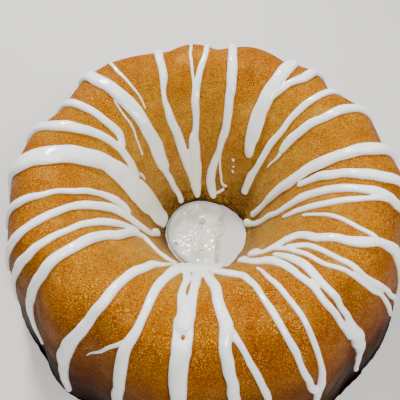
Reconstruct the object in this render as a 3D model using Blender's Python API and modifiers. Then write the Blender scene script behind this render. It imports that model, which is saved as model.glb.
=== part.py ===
"""A ring-shaped pound cake, turned out of a fluted tin and striped with poured white icing.

The cake stands on its flat side, centred on the origin, with +Z up. A place on the crust is
given in two numbers: the distance along the profile, which starts at the foot of the hole,
climbs the funnel, crosses the crown and runs down the outside, and the azimuth, which is
counted from +Y towards +X.
"""
import math

import bmesh
import bpy
import numpy as np
from mathutils import Vector

# Driving dimensions of the ring, in metres
CAKE_RADIUS = 0.1216
CROWN_RADIUS = 0.0820
HOLE_RADIUS = 0.0260
CAKE_HEIGHT = 0.0753
# Exponents of the two curves that the crown joins: how full the outside and the funnel are
OUTER_FULLNESS = (2.8, 0.8)
FUNNEL_FULLNESS = (2.0, 1.1)
BASE_CHAMFER = 0.0012

# Broad uneven flutes that begin below the crown. For each: the azimuth of a valley in degrees,
# how far the crust stands out there and on the crest that follows, in mm
FLUTES = (
    (-148, -3.8, -0.2), (-128, -3.2, -0.1), (-100, -1.4, 0.4), (-60, -3.2, 2.6),
    (-12, -1.0, 1.8), (8, -1.5, 1.9), (36, -1.8, 0.1), (56, -4.6, -0.6),
    (84, -2.8, 0.4), (112, -2.6, -1.2), (144, -3.6, 0.0), (172, -1.6, 0.0),
)
FLUTE_ROUNDING = 0.25
FLUTE_FADE = 0.014

# The foot of the hole bulges inwards on one side: how far, its azimuth, half its width, its height
BULGE = 0.0042
BULGE_AZIMUTH = 25.0
BULGE_SPREAD = 50.0
BULGE_HEIGHT = 0.016

# The wall of the funnel is hollow on the near side: how deep, its azimuth, half its width, its
# share at the foot, and the distances along the profile at which it is full and fades away
HOLLOW = 0.0050
HOLLOW_AZIMUTH = 175.0
HOLLOW_SPREAD = 30.0
HOLLOW_FOOT = 0.6
HOLLOW_FULL = 0.025
HOLLOW_END = (0.030, 0.060)

# Facets of the ring
RING_STEPS = 90
OUTER_ROWS = 12
FUNNEL_ROWS = 9

# Cross-section of a stripe of icing
ICING_HEIGHT_SHARE = 0.42
ICING_HEIGHT_MOST = 0.0030
ICING_SINK = 0.0012
ICING_STEP = 0.0105
SECTION = ((-0.50, None), (-0.37, 0.66), (0.0, 1.0), (0.37, 0.66), (0.50, None))

# Icing that ran through to the surface below and set in the hole
POOL_RADIUS = 0.0255
POOL_HEIGHT = 0.0030
POOL_STEPS = 40
BARE_AZIMUTH = 103.0
BARE_DISTANCE = 0.0110
BARE_SLOPE = 0.0012

# The stripes, in the order they lie round the ring. Each is followed from the funnel over the
# crown: distance along the profile in mm, azimuth in degrees, width in mm.
STRIPES = (
    ((8, -13, 5), (40, -18, 6), (63, -21, 5.5), (75, -20.5, 3.2), (90, -17, 5), (110, -15.6, 6),
     (142, -12.6, 4)),
    ((5, -11, 4), (12, -10.7, 7), (20, -9.6, 8.2), (38, -7.6, 8), (49, -5.5, 4.5), (75, -2.1, 4.7),
     (95, 3, 4), (127, 4.6, 4)),
    ((5, 15.5, 4.5), (9, 12, 6.6), (23, 10, 5.5), (38, 15.5, 4.5), (52, 18.6, 5), (82, 16.7, 6),
     (118, 12.9, 6), (152, 13.4, 4)),
    ((40, 44.5, 3.5), (46, 41, 6.2), (60, 39, 9), (78, 38.6, 9), (99, 39, 8.4), (122, 38, 6)),
    ((77, 40, 4), (90, 44, 4.5), (98, 47.4, 6), (115, 48.8, 5), (137, 48.4, 4)),
    ((16, 54.5, 6), (47, 55.5, 4), (75, 56.5, 4), (96, 58.8, 4.3), (127, 61.3, 4)),
    ((56, 65.8, 3), (62, 65.2, 5), (74, 65.9, 5), (97, 69.8, 5.8), (120, 71.7, 5.5), (146, 71.4, 4)),
    ((12, 82.5, 4.6), (28, 87, 4.4), (42, 87.2, 6.4), (80, 89.9, 6.4), (100, 89.7, 7.5), (126, 88.1, 6),
     (157, 88.1, 4.5)),
    ((58, 95.3, 3), (67, 96.1, 4.2), (88, 100.4, 5.5), (102, 101.7, 6), (131, 99.4, 4.5)),
    ((6, 86, 6), (10, 93, 4.6), (23, 103.5, 4.2), (48, 106.5, 4.6), (73, 106, 4.8), (95, 108, 4.3),
     (113, 108.4, 5.5), (142, 106.4, 5)),
    ((48, 115.4, 2.5), (68, 114.8, 4), (97, 111, 3.2), (113, 108, 4)),
    ((46, 150, 6), (53, 150.5, 6), (60, 147.5, 4), (66, 137, 5.5), (82, 133, 4.5), (95, 130.2, 4.6),
     (106, 125, 4.5), (121, 122.4, 6), (152, 121.4, 4)),
    ((70, 142, 3), (81, 138, 3), (96, 137.3, 3), (106, 136, 3), (126, 131.3, 3), (160, 123, 3.4)),
    ((62, 144.5, 3), (74, 142.8, 3), (92, 142, 2.6), (106, 138.1, 2.6), (120, 135, 2.6),
     (160, 127.5, 3.4)),
    ((50, 160.3, 5.5), (57, 160, 5), (73, 152, 4.8), (91, 150.6, 3.6), (105, 149.5, 3.4),
     (120, 147.4, 3.5), (135, 145, 4)),
    ((68, 147.8, 3), (84, 146.3, 4.6), (104, 146.5, 3.4), (118, 145, 3.5), (124, 144.8, 5),
     (140, 142.7, 7.8), (148, 141.7, 6), (158, 141.2, 4.3), (181, 141, 3.4)),
    ((74, 159.3, 2.5), (90, 158.1, 2.8), (132, 156, 3), (148, 155.7, 4.4), (154, 156.6, 4.2),
     (178, 157, 3.5)),
    ((62, 177, 4), (71, 172, 4.5), (76, 166.3, 4.2), (86, 165.1, 3.4), (108, 163, 3.3),
     (152, 157.2, 3.6)),
    ((101, 176, 3.2), (109, 174, 3.2), (124, 171, 3.3), (143, 168.5, 3.4), (165, 168, 3)),
    ((8, 180, 5), (60, 181.5, 5.5), (76, 180, 4.7), (94, 177.5, 4.9), (101, 176.8, 6), (111, 177.6, 4.6),
     (131, 176.2, 5.5), (172, 175.5, 4.8)),
    ((8, -175.5, 10), (38, -176.5, 16), (56, -175.5, 20), (67, -173, 9), (90, -172.3, 7),
     (103, -172, 7.7), (114, -171.6, 7.2), (132, -171.5, 7.7), (176, -171, 6)),
    ((30, -168, 4), (56, -167.5, 5.5), (69, -163.8, 6), (79, -161.6, 4.6), (88, -161, 4),
     (105, -160.4, 4), (117, -158.4, 5.4), (144, -157, 6), (173, -156, 5)),
    ((60, -157, 4), (69, -152, 5), (84, -149.2, 4.7), (101, -148.1, 4.6), (110, -146.5, 5),
     (120, -145, 5.8), (130, -143, 6.8), (141, -142, 6.8), (157, -141, 5.4), (184, -140.5, 4)),
    ((34, -141, 4), (38, -133, 4.3), (44, -124.5, 4.6), (56, -124.5, 4.8), (68, -126.5, 5.6),
     (93, -128, 5.6), (108, -128, 5.4), (128, -126.5, 5.4), (152, -125.5, 4), (174, -128.5, 2.7)),
    ((44, -120, 4.5), (58, -117.6, 4.8), (72, -118, 4.6), (94, -120.5, 3.5), (119, -120, 4.8),
     (145, -117, 3.3), (165, -115.6, 2.8)),
    ((14, -103, 6), (24, -111, 5), (37, -112.5, 5), (54, -107.3, 5.6), (68, -107, 5), (84, -109.8, 4.3),
     (98, -112.5, 4), (111, -113.5, 4.6), (147, -111, 4)),
    ((50, -100, 5), (57, -98.4, 5), (67, -98.4, 3.8), (88, -101.7, 3.2), (97, -103.1, 3.7),
     (108, -102.7, 4.8), (137, -101.3, 3.5)),
    ((5, -78, 12), (14, -78, 14.8), (41, -78.5, 16.5), (52, -76.8, 14), (67, -76.9, 10.7),
     (81, -81.3, 10.7), (107, -87.6, 11), (126, -86.9, 9), (152, -86.7, 6)),
    ((43, -68.7, 6), (53, -64.1, 5.2), (63, -61.9, 4.8), (77, -64.5, 5), (88, -68.8, 5.8),
     (98, -71.3, 6.7), (121, -73, 6), (142, -72.9, 4.5)),
    ((62, -61.1, 4.5), (69, -56.1, 4.5), (88, -57.2, 5.2), (105, -59.1, 6), (127, -58.9, 4)),
    ((5, -36.3, 4.4), (18, -37.5, 4.2), (31, -40, 4.6), (36, -39.7, 8), (64, -39.1, 8.3),
     (74, -39.7, 8.6), (98, -43.5, 9.1), (117, -45, 7), (142, -44.8, 5)),
)

CRUST_COLOUR = (0.45, 0.20, 0.045, 1.0)
ICING_COLOUR = (0.80, 0.79, 0.78, 1.0)


def clear_scene():
    for obj in list(bpy.data.objects):
        bpy.data.objects.remove(obj, do_unlink=True)


def new_collection(name):
    collection = bpy.data.collections.new(name)
    bpy.context.scene.collection.children.link(collection)
    return collection


def plain_material(name, colour, roughness):
    material = bpy.data.materials.new(name)
    material.use_nodes = True
    shader = material.node_tree.nodes["Principled BSDF"]
    shader.inputs["Base Color"].default_value = colour
    shader.inputs["Roughness"].default_value = roughness
    shader.inputs["Metallic"].default_value = 0.0
    return material


def outer_radius(z):
    across, up = OUTER_FULLNESS
    share = (1.0 - (z / CAKE_HEIGHT) ** up) ** (1.0 / across)
    return CROWN_RADIUS + (CAKE_RADIUS - CROWN_RADIUS) * share


def funnel_radius(z):
    across, up = FUNNEL_FULLNESS
    share = (1.0 - (z / CAKE_HEIGHT) ** up) ** (1.0 / across)
    return CROWN_RADIUS - (CROWN_RADIUS - HOLE_RADIUS) * share


def fine_profile(count=400):
    """Radius, height and distance along the profile, from the foot of the hole to the outer foot."""
    heights = CAKE_HEIGHT * np.sin(np.linspace(0.0, math.pi / 2, count))
    radius = np.concatenate([funnel_radius(heights), outer_radius(heights[-2::-1])])
    height = np.concatenate([heights, heights[-2::-1]])
    steps = np.hypot(np.diff(radius), np.diff(height))
    return radius, height, np.concatenate([[0.0], np.cumsum(steps)])


PROFILE_RADIUS, PROFILE_HEIGHT, PROFILE_DISTANCE = fine_profile()
CROWN_DISTANCE = float(PROFILE_DISTANCE[np.argmax(PROFILE_HEIGHT)])
FOOT_DISTANCE = float(PROFILE_DISTANCE[-1])


def profile_at(distance):
    radius = np.interp(distance, PROFILE_DISTANCE, PROFILE_RADIUS)
    height = np.interp(distance, PROFILE_DISTANCE, PROFILE_HEIGHT)
    return float(radius), float(height)


def profile_normal(distance, reach=0.001):
    """Outward direction of the profile, as radius and height."""
    before = profile_at(max(distance - reach, 0.0))
    after = profile_at(min(distance + reach, FOOT_DISTANCE))
    along = Vector((after[0] - before[0], after[1] - before[1])).normalized()
    return Vector((-along.y, along.x))


def smooth_step(share):
    share = min(max(share, 0.0), 1.0)
    return share * share * (3.0 - 2.0 * share)


def flute_push(azimuth):
    """How far the crust stands out at this azimuth: sharp valleys with a rounded crest between."""
    starts = [row[0] for row in FLUTES] + [FLUTES[0][0] + 360]
    turned = FLUTES[0][0] + (azimuth - FLUTES[0][0]) % 360.0
    index = min(int(np.searchsorted(starts, turned, side="right")) - 1, len(FLUTES) - 1)
    share = (turned - starts[index]) / (starts[index + 1] - starts[index])
    crest = FLUTES[index][2]
    valley = FLUTES[index if share < 0.5 else (index + 1) % len(FLUTES)][1]
    arch = math.hypot(math.sin(math.pi * share), FLUTE_ROUNDING) - FLUTE_ROUNDING
    arch /= math.hypot(1.0, FLUTE_ROUNDING) - FLUTE_ROUNDING
    return 0.001 * (valley + (crest - valley) * arch)


def hole_bulge(azimuth):
    """How far the foot of the hole bulges inwards at this azimuth."""
    away = (azimuth - BULGE_AZIMUTH + 180.0) % 360.0 - 180.0
    return BULGE * math.exp(-(away / BULGE_SPREAD) ** 2)


def wall_hollow(azimuth):
    """How deep the near wall of the funnel is hollow at this azimuth."""
    away = (azimuth - HOLLOW_AZIMUTH + 180.0) % 360.0 - 180.0
    return HOLLOW * math.exp(-(away / HOLLOW_SPREAD) ** 2)


def crust_lift(distance, azimuth):
    """How far the crust stands off the turned profile here."""
    fluted = smooth_step((distance - CROWN_DISTANCE) / FLUTE_FADE)
    bulged = 1.0 - smooth_step(distance / BULGE_HEIGHT)
    hollowed = HOLLOW_FOOT + (1.0 - HOLLOW_FOOT) * smooth_step(distance / HOLLOW_FULL)
    hollowed *= 1.0 - smooth_step((distance - HOLLOW_END[0]) / (HOLLOW_END[1] - HOLLOW_END[0]))
    pressed = fluted * flute_push(azimuth) + bulged * hole_bulge(azimuth)
    return pressed - hollowed * wall_hollow(azimuth)


def on_crust(distance, azimuth, lift=0.0):
    """The point at this place, raised off the crust by lift."""
    radius, height = profile_at(distance)
    normal = profile_normal(distance) * (crust_lift(distance, azimuth) + lift)
    radius += normal.x
    turn = math.radians(azimuth)
    return Vector((radius * math.sin(turn), radius * math.cos(turn), height + normal.y))


def ring_profile():
    """One side of the ring, from the crown down the outside, under the base and up the funnel."""
    outside = np.linspace(CROWN_DISTANCE, FOOT_DISTANCE - BASE_CHAMFER, OUTER_ROWS)
    funnel = np.linspace(0.0, CROWN_DISTANCE, FUNNEL_ROWS)[:-1]
    points = [profile_at(distance) for distance in outside]
    points.append((CAKE_RADIUS - BASE_CHAMFER, 0.0))
    points += [profile_at(distance) for distance in funnel]
    return points


def make_ring(collection):
    """The baked ring: the profile turned round Z, then pushed in and out."""
    points = ring_profile()
    count = len(points)
    mesh = bpy.data.meshes.new("ring_profile")
    mesh.from_pydata([(radius, 0.0, height) for radius, height in points],
                     [(i, (i + 1) % count) for i in range(count)], [])
    blank = bpy.data.objects.new("ring_blank", mesh)
    collection.objects.link(blank)
    screw = blank.modifiers.new("Turn", "SCREW")
    screw.axis = "Z"
    screw.angle = math.tau
    screw.steps = RING_STEPS
    screw.render_steps = RING_STEPS
    screw.use_merge_vertices = True
    screw.merge_threshold = 0.00001
    turned = bpy.data.meshes.new_from_object(blank.evaluated_get(bpy.context.evaluated_depsgraph_get()))
    bpy.data.objects.remove(blank, do_unlink=True)
    turned.name = "cake"
    for vertex in turned.vertices:
        press_crust(vertex)
    ring = bpy.data.objects.new("cake", turned)
    collection.objects.link(ring)
    return ring


def press_crust(vertex):
    """Move one turned vertex out to a crest or bulge, or in to a valley."""
    x, y, z = vertex.co
    radius = math.hypot(x, y)
    gap = np.hypot(PROFILE_RADIUS - radius, PROFILE_HEIGHT - z)
    distance = float(PROFILE_DISTANCE[np.argmin(gap)])
    normal = profile_normal(distance) * crust_lift(distance, math.degrees(math.atan2(x, y)))
    if z > 0.0:
        vertex.co.z += normal.y
    vertex.co.x *= (radius + normal.x) / radius
    vertex.co.y *= (radius + normal.x) / radius


def stripe_stations(stripe):
    """Distance, azimuth and width at even steps, with two close steps that round each end."""
    known = np.array(stripe, dtype=float) * (0.001, 1.0, 0.001)
    first, last = known[0, 0], known[-1, 0]
    steps = max(int(round((last - first) / ICING_STEP)), 2)
    places = list(np.linspace(first, last, steps + 1))
    places.insert(1, first + 0.3 * known[0, 2])
    places.insert(-1, last - 0.3 * known[-1, 2])
    azimuths = np.interp(places, known[:, 0], known[:, 1])
    widths = np.interp(places, known[:, 0], known[:, 2])
    widths[0] *= 0.45
    widths[-1] *= 0.45
    return places, azimuths, widths


def stripe_rings(stripe):
    """The stripe's sections, each a low dome that is square to the stripe and sunk in the crust."""
    places, azimuths, widths = stripe_stations(stripe)
    reach = np.array([profile_at(place)[0] for place in places])
    across = np.gradient(np.radians(azimuths) * reach.mean(), places) * reach / reach.mean()
    rings = []
    for place, azimuth, width, radius, slant in zip(places, azimuths, widths, reach, across):
        length = math.hypot(1.0, slant)
        height = min(ICING_HEIGHT_SHARE * width, ICING_HEIGHT_MOST)
        ring = []
        for side, level in SECTION:
            shift = side * width / length
            lift = -ICING_SINK if level is None else level * height
            distance = min(max(place - shift * slant, 0.003), FOOT_DISTANCE - 0.003)
            ring.append(on_crust(distance, azimuth + math.degrees(shift / radius), lift))
        rings.append(ring)
    return rings


def make_stripe(index, stripe, collection):
    """One run of icing, lofted between its sections and closed at both ends."""
    form = bmesh.new()
    loops = [[form.verts.new(point) for point in ring] for ring in stripe_rings(stripe)]
    size = len(SECTION)
    for before, after in zip(loops, loops[1:]):
        for i in range(size):
            j = (i + 1) % size
            form.faces.new((before[i], before[j], after[j], after[i]))
    form.faces.new(loops[0][::-1])
    form.faces.new(loops[-1])
    bmesh.ops.triangulate(form, faces=form.faces)
    bmesh.ops.recalc_face_normals(form, faces=form.faces)
    mesh = bpy.data.meshes.new(f"stripe_{index}")
    form.to_mesh(mesh)
    form.free()
    collection.objects.link(bpy.data.objects.new(f"stripe_{index}", mesh))


def keep_largest_shell(mesh):
    """Fill the hollows that stripes close off where they cross: only the outer shell stays."""
    form = bmesh.new()
    form.from_mesh(mesh)
    shells = []
    waiting = set(form.faces)
    while waiting:
        shell = []
        edge_of_search = [waiting.pop()]
        while edge_of_search:
            face = edge_of_search.pop()
            shell.append(face)
            near = {other for edge in face.edges for other in edge.link_faces} & waiting
            waiting -= near
            edge_of_search.extend(near)
        shells.append(shell)
    shells.sort(key=len)
    for shell in shells[:-1]:
        bmesh.ops.delete(form, geom=shell, context="FACES")
    form.to_mesh(mesh)
    form.free()


def fuse(body, collection):
    """Join a collection's pieces to the body in one union, then remove them."""
    union = body.modifiers.new("Icing", "BOOLEAN")
    union.operation = "UNION"
    union.operand_type = "COLLECTION"
    union.collection = collection
    union.solver = "EXACT"
    fused = bpy.data.meshes.new_from_object(body.evaluated_get(bpy.context.evaluated_depsgraph_get()))
    body.modifiers.remove(union)
    keep_largest_shell(fused)
    body.data = fused
    for piece in list(collection.objects):
        bpy.data.objects.remove(piece, do_unlink=True)
    bpy.data.collections.remove(collection)


def make_cake(collection):
    ring = make_ring(collection)
    stripes = new_collection("icing_stripes")
    for index, stripe in enumerate(STRIPES):
        make_stripe(index, stripe, stripes)
    fuse(ring, stripes)
    ring.data.materials.clear()
    ring.data.materials.append(plain_material("golden_crust", CRUST_COLOUR, 0.5))
    ring.data.shade_smooth()
    ring.data.set_sharp_from_angle(angle=math.radians(40))


def pool_reach(turn):
    """How far the pool spreads towards this direction: a bare crescent is left on one side."""
    azimuth = math.degrees(turn)
    walled = POOL_RADIUS - hole_bulge(azimuth) + HOLLOW_FOOT * wall_hollow(azimuth)
    facing = math.cos(turn - math.radians(BARE_AZIMUTH))
    ripple = BARE_SLOPE * math.sin(5 * turn)
    if facing <= 0.05:
        return walled
    return min(walled, BARE_DISTANCE / facing + ripple)


def make_pool(collection):
    """The set pool: a low drop with a rounded rim, flat underneath."""
    form = bmesh.new()
    levels = ((0.985, 0.0), (1.0, 0.3), (0.985, 0.65), (0.93, 0.92), (0.78, 1.0))
    rings = []
    for share, level in levels:
        ring = []
        for i in range(POOL_STEPS):
            turn = math.tau * i / POOL_STEPS
            reach = pool_reach(turn) * share
            ring.append(form.verts.new((reach * math.sin(turn), reach * math.cos(turn), level * POOL_HEIGHT)))
        rings.append(ring)
    for below, above in zip(rings, rings[1:]):
        for i in range(POOL_STEPS):
            j = (i + 1) % POOL_STEPS
            form.faces.new((below[i], above[i], above[j], below[j]))
    form.faces.new(rings[0])
    form.faces.new(rings[-1][::-1])
    bmesh.ops.triangulate(form, faces=form.faces)
    bmesh.ops.recalc_face_normals(form, faces=form.faces)
    mesh = bpy.data.meshes.new("icing_pool")
    form.to_mesh(mesh)
    form.free()
    pool = bpy.data.objects.new("icing_pool", mesh)
    pool.data.materials.append(plain_material("set_icing", ICING_COLOUR, 0.25))
    pool.data.shade_smooth()
    pool.data.set_sharp_from_angle(angle=math.radians(40))
    collection.objects.link(pool)


def main():
    clear_scene()
    collection = new_collection("pound_cake")
    make_cake(collection)
    make_pool(collection)


main()
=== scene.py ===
import math

import bmesh
import bpy
import numpy as np
from mathutils import Matrix, Vector


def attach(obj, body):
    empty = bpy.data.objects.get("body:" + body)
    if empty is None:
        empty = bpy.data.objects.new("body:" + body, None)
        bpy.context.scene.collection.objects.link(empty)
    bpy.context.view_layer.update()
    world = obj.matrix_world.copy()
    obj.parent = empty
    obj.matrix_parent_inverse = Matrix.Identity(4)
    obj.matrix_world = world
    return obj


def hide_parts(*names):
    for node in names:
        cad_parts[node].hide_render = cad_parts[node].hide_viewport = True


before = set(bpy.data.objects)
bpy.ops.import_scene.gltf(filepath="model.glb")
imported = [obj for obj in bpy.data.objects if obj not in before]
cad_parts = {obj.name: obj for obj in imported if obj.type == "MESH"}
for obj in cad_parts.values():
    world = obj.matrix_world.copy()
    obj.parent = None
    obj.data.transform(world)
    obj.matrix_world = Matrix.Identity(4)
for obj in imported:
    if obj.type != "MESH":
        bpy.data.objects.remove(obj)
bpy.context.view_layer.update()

# The view: a hand-held camera close above the near side of the cake, looking down into the
# hole, with a slight tilt. Its place is in metres from the centre of the cake's base.
CAMERA_PLACE = Vector((-0.0030, -0.1283, 0.2296))
CAMERA_DIP = math.radians(56.31)
CAMERA_TILT = math.radians(-2.8)
CAMERA_SENSOR = 36.0
CAMERA_LENS = 36.0

camera_data = bpy.data.cameras.new("view_camera")
camera_data.sensor_width = CAMERA_SENSOR
camera_data.lens = CAMERA_LENS
camera_data.clip_start = 0.01
camera = bpy.data.objects.new("view_camera", camera_data)
bpy.context.scene.collection.objects.link(camera)
camera.location = CAMERA_PLACE
level_right = Vector((1.0, 0.0, 0.0))
level_up = Vector((0.0, math.sin(CAMERA_DIP), math.cos(CAMERA_DIP)))
look = Vector((0.0, math.cos(CAMERA_DIP), -math.sin(CAMERA_DIP)))
right = math.cos(CAMERA_TILT) * level_right + math.sin(CAMERA_TILT) * level_up
up = math.cos(CAMERA_TILT) * level_up - math.sin(CAMERA_TILT) * level_right
camera.rotation_mode = "QUATERNION"
camera.rotation_quaternion = Matrix((right, up, -look)).transposed().to_quaternion()
bpy.context.scene.camera = camera

# The baked ring: a butter-rich batter baked in a ring tin with broad flutes and turned out on
# its flat side. Its crust is fine-grained and a little greasy, golden in the funnel and darker
# down the outside, partly browned where the metal was hottest and partly painted shade on the
# low outer wall. Here its profile is turned and pressed by nodes.
CAKE_RADIUS = 0.1216
CROWN_RADIUS = 0.0820
HOLE_RADIUS = 0.0260
CAKE_HEIGHT = 0.0753
OUTER_FULLNESS = (2.8, 0.8)
FUNNEL_FULLNESS = (2.0, 1.1)
# for each flute: the azimuth of a valley in degrees, from +Y towards +X, how far the crust stands
# out there and on the crest that follows, in mm
FLUTES = (
    (-148, -3.8, -0.2), (-128, -3.2, -0.1), (-100, -1.4, 0.4), (-60, -3.2, 2.6),
    (-12, -1.0, 1.8), (8, -1.5, 1.9), (36, -1.8, 0.1), (56, -4.6, -0.6),
    (84, -2.8, 0.4), (112, -2.6, -1.2), (144, -3.6, 0.0), (172, -1.6, 0.0),
)
FLUTE_ROUNDING = 0.25
FLUTE_FADE = 0.014
# how deep a valley is where its painted shade is darkest
FLUTE_SHADE_DEPTH = 0.0045
# the foot of the hole bulges inwards on the far side
BULGE = 0.0042
BULGE_AZIMUTH = 25.0
BULGE_SPREAD = 50.0
BULGE_HEIGHT = 0.016
# the wall of the funnel is hollow on the near side
HOLLOW = 0.0050
HOLLOW_AZIMUTH = 175.0
HOLLOW_SPREAD = 30.0
HOLLOW_FOOT = 0.6
HOLLOW_FULL = 0.025
HOLLOW_END = (0.030, 0.060)
RING_STEPS = 480
RING_ROWS = 172
UNDERSIDE_ROWS = 6
# slow swells, fine grain and torn crumb: how far each lifts the crust, and how many to the metre
SWELL_LIFT = 0.0010
SWELL_SCALE = 32.0
GRAIN_LIFT = 0.00035
GRAIN_SCALE = 420.0
CRUMB_LIFT = 0.0024
CRUMB_SCALE = 190.0
# how far up from the two feet of the wall the crumb is torn
FOOT_REACH = 0.012
OUTER_FOOT_SHARE = 0.7


def fine_profile(count=600):
    """Radius, height and distance along the crust, from the foot of the hole to the outer foot."""
    heights = CAKE_HEIGHT * np.sin(np.linspace(0.0, math.pi / 2, count))
    share = heights / CAKE_HEIGHT
    across, rise = FUNNEL_FULLNESS
    funnel = CROWN_RADIUS - (CROWN_RADIUS - HOLE_RADIUS) * (1.0 - share ** rise) ** (1.0 / across)
    across, rise = OUTER_FULLNESS
    outside = CROWN_RADIUS + (CAKE_RADIUS - CROWN_RADIUS) * (1.0 - share ** rise) ** (1.0 / across)
    radius = np.concatenate([funnel, outside[-2::-1]])
    height = np.concatenate([heights, heights[-2::-1]])
    steps = np.hypot(np.diff(radius), np.diff(height))
    return radius, height, np.concatenate([[0.0], np.cumsum(steps)])


profile_radius, profile_height, profile_distance = fine_profile()
crown_distance = profile_distance[np.argmax(profile_height)]
foot_distance = profile_distance[-1]


def profile_at(distance):
    radius = np.interp(distance, profile_distance, profile_radius)
    height = np.interp(distance, profile_distance, profile_height)
    return radius, height


def profile_normal(distance, reach=0.001):
    """Outward direction of the profile, as its share along the radius and its share upwards."""
    before = profile_at(np.maximum(distance - reach, 0.0))
    after = profile_at(np.minimum(distance + reach, foot_distance))
    run, rise = after[0] - before[0], after[1] - before[1]
    length = np.hypot(run, rise)
    return -rise / length, run / length


def smooth_step(value, start, end):
    share = np.clip((value - start) / (end - start), 0.0, 1.0)
    return share * share * (3.0 - 2.0 * share)


def flute_push(azimuth):
    """How far the crust stands out at this azimuth: sharp valleys with a rounded crest between."""
    rows = np.array(FLUTES)
    starts = np.append(rows[:, 0], rows[0, 0] + 360.0)
    turned = starts[0] + (np.asarray(azimuth, dtype=float) - starts[0]) % 360.0
    index = np.clip(np.searchsorted(starts, turned, side="right") - 1, 0, len(rows) - 1)
    share = (turned - starts[index]) / (starts[index + 1] - starts[index])
    valley = rows[np.where(share < 0.5, index, (index + 1) % len(rows)), 1]
    arch = np.hypot(np.sin(math.pi * share), FLUTE_ROUNDING) - FLUTE_ROUNDING
    arch = arch / (math.hypot(1.0, FLUTE_ROUNDING) - FLUTE_ROUNDING)
    return 0.001 * (valley + (rows[index, 2] - valley) * arch)


def hole_bulge(azimuth):
    """How far the foot of the hole bulges inwards at this azimuth."""
    away = (azimuth - BULGE_AZIMUTH + 180.0) % 360.0 - 180.0
    return BULGE * np.exp(-(away / BULGE_SPREAD) ** 2)


def wall_hollow(azimuth):
    """How far the near wall of the funnel stands out at this azimuth: below zero, as it is hollow."""
    away = (azimuth - HOLLOW_AZIMUTH + 180.0) % 360.0 - 180.0
    return -HOLLOW * np.exp(-(away / HOLLOW_SPREAD) ** 2)


def flute_fade(distance):
    return smooth_step(distance, crown_distance, crown_distance + FLUTE_FADE)


def bulge_fade(distance):
    return 1.0 - smooth_step(distance, 0.0, BULGE_HEIGHT)


def hollow_fade(distance):
    grown = HOLLOW_FOOT + (1.0 - HOLLOW_FOOT) * smooth_step(distance, 0.0, HOLLOW_FULL)
    return grown * (1.0 - smooth_step(distance, *HOLLOW_END))


def on_crust(distance, azimuth, lift=0.0):
    """Points of the crust, raised by lift. Azimuth is in degrees, from +Y towards +X."""
    radius, height = profile_at(distance)
    outward, upward = profile_normal(distance)
    press = flute_fade(distance) * flute_push(azimuth) + bulge_fade(distance) * hole_bulge(azimuth)
    press = press + hollow_fade(distance) * wall_hollow(azimuth) + lift
    radius = radius + outward * press
    turn = np.radians(azimuth)
    return np.stack([radius * np.sin(turn), radius * np.cos(turn), height + upward * press], axis=-1)


def node(tree, kind, values=None, **settings):
    """A new node: its settings, then its inputs by name or number, each a value or a socket."""
    made = tree.nodes.new(kind)
    for name, value in settings.items():
        setattr(made, name, value)
    for socket, value in (values or {}).items():
        if isinstance(value, bpy.types.NodeSocket):
            tree.links.new(value, made.inputs[socket])
        else:
            made.inputs[socket].default_value = value
    return made


def calc(tree, operation, *values):
    return node(tree, "ShaderNodeMath", dict(enumerate(values)), operation=operation).outputs[0]


def vector_calc(tree, operation, *values, scale=None):
    given = dict(enumerate(values))
    if scale is not None:
        given["Scale"] = scale
    return node(tree, "ShaderNodeVectorMath", given, operation=operation).outputs[0]


def noise(tree, place, scale, detail=2.0, roughness=0.5):
    """Soft noise from 0 to 1 over a place."""
    values = {"Vector": place, "Scale": scale, "Detail": detail, "Roughness": roughness}
    return node(tree, "ShaderNodeTexNoise", values).outputs[0]


def own_value(tree, name):
    """A number that the points carry, read in a geometry tree."""
    return node(tree, "GeometryNodeInputNamedAttribute", {"Name": name}, data_type="FLOAT").outputs[0]


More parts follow.
